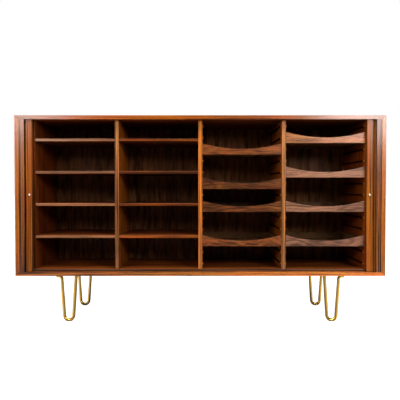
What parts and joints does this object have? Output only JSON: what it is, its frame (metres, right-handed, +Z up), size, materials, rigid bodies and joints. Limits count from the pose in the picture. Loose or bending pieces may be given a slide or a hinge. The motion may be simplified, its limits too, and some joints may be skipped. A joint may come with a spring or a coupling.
{
  "type": "tambour door cabinet",
  "caption": "Low sideboard on hairpin legs with a pair of tambour doors that slide into the sides, shelves in two bays and pull-out trays in two bays.",
  "frame": {"origin": "centre of the footprint on the floor, under the middle of the case", "axes": "+Z up, the open front faces -Y, +X to the right as seen from the front"},
  "size_m": [1.8, 0.45, 1.02],
  "materials": {
    "case_rosewood": "satin lacquered rosewood veneer",
    "divider_rosewood": "satin lacquered rosewood veneer",
    "back_veneer": "satin rosewood veneer",
    "back_plywood": "stained plywood",
    "shelf_rosewood": "satin lacquered rosewood veneer",
    "clip_brass": "bent sheet brass",
    "runner_beech": "stained solid wood",
    "leg_brass": "polished brass rod",
    "plate_brass": "brass plate",
    "tray_front_rosewood": "satin lacquered solid rosewood",
    "tray_box_wood": "oiled solid wood",
    "stile_rosewood": "satin lacquered solid rosewood",
    "slat_rosewood": "satin lacquered solid rosewood",
    "door_canvas": "glued cotton canvas",
    "knob_metal": "polished turned metal"
  },
  "bodies": {
    "cabinet": {"case_top": "case_rosewood", "case_bottom": "case_rosewood", "case_side_left": "case_rosewood", "case_side_right": "case_rosewood", "corner_post_left": "case_rosewood", "corner_post_right": "case_rosewood", "inner_wall_left": "divider_rosewood", "inner_wall_right": "divider_rosewood", "inner_floor": "shelf_rosewood", "divider_1": "divider_rosewood", "divider_2": "divider_rosewood", "divider_3": "divider_rosewood", "inner_back": "back_veneer", "outer_back": "back_plywood", "shelf_1_1": "shelf_rosewood", "shelf_1_2": "shelf_rosewood", "shelf_1_3": "shelf_rosewood", "shelf_1_4": "shelf_rosewood", "shelf_2_1": "shelf_rosewood", "shelf_2_2": "shelf_rosewood", "shelf_2_3": "shelf_rosewood", "shelf_2_4": "shelf_rosewood", "shelf_clips": "clip_brass", "runners_3_left": "runner_beech", "runners_3_right": "runner_beech", "runners_4_left": "runner_beech", "runners_4_right": "runner_beech", "leg_front_left": "leg_brass", "leg_front_right": "leg_brass", "leg_rear_left": "leg_brass", "leg_rear_right": "leg_brass", "leg_plates": "plate_brass"},
    "tray_3_1": {"tray_front_3_1": "tray_front_rosewood", "tray_box_3_1": "tray_box_wood"},
    "tray_3_2": {"tray_front_3_2": "tray_front_rosewood", "tray_box_3_2": "tray_box_wood"},
    "tray_3_3": {"tray_front_3_3": "tray_front_rosewood", "tray_box_3_3": "tray_box_wood"},
    "tray_3_4": {"tray_front_3_4": "tray_front_rosewood", "tray_box_3_4": "tray_box_wood"},
    "tray_4_1": {"tray_front_4_1": "tray_front_rosewood", "tray_box_4_1": "tray_box_wood"},
    "tray_4_2": {"tray_front_4_2": "tray_front_rosewood", "tray_box_4_2": "tray_box_wood"},
    "tray_4_3": {"tray_front_4_3": "tray_front_rosewood", "tray_box_4_3": "tray_box_wood"},
    "tray_4_4": {"tray_front_4_4": "tray_front_rosewood", "tray_box_4_4": "tray_box_wood"},
    "door_left": {"lead_stile_left": "stile_rosewood", "door_knob_left": "knob_metal", "door_slats_left": "slat_rosewood", "door_canvas_left": "door_canvas"},
    "door_right": {"lead_stile_right": "stile_rosewood", "door_knob_right": "knob_metal", "door_slats_right": "slat_rosewood", "door_canvas_right": "door_canvas"}
  },
  "joints": [
    {"name": "tray_3_1_slide", "type": "slide", "parent": "cabinet", "child": "tray_3_1", "axis": [0, 1, 0], "range_m": [-0.3, 0]},
    {"name": "tray_3_2_slide", "type": "slide", "parent": "cabinet", "child": "tray_3_2", "axis": [0, 1, 0], "range_m": [-0.3, 0]},
    {"name": "tray_3_3_slide", "type": "slide", "parent": "cabinet", "child": "tray_3_3", "axis": [0, 1, 0], "range_m": [-0.3, 0]},
    {"name": "tray_3_4_slide", "type": "slide", "parent": "cabinet", "child": "tray_3_4", "axis": [0, 1, 0], "range_m": [-0.3, 0]},
    {"name": "tray_4_1_slide", "type": "slide", "parent": "cabinet", "child": "tray_4_1", "axis": [0, 1, 0], "range_m": [-0.3, 0]},
    {"name": "tray_4_2_slide", "type": "slide", "parent": "cabinet", "child": "tray_4_2", "axis": [0, 1, 0], "range_m": [-0.3, 0]},
    {"name": "tray_4_3_slide", "type": "slide", "parent": "cabinet", "child": "tray_4_3", "axis": [0, 1, 0], "range_m": [-0.3, 0]},
    {"name": "tray_4_4_slide", "type": "slide", "parent": "cabinet", "child": "tray_4_4", "axis": [0, 1, 0], "range_m": [-0.3, 0]},
    {"name": "door_left_slide", "type": "slide", "parent": "cabinet", "child": "door_left", "axis": [1, 0, 0], "range_m": [0, 0.818], "deforming": ["door_slats_left", "door_canvas_left"]},
    {"name": "door_right_slide", "type": "slide", "parent": "cabinet", "child": "door_right", "axis": [-1, 0, 0], "range_m": [0, 0.8105], "deforming": ["door_slats_right", "door_canvas_right"]}
  ]
}
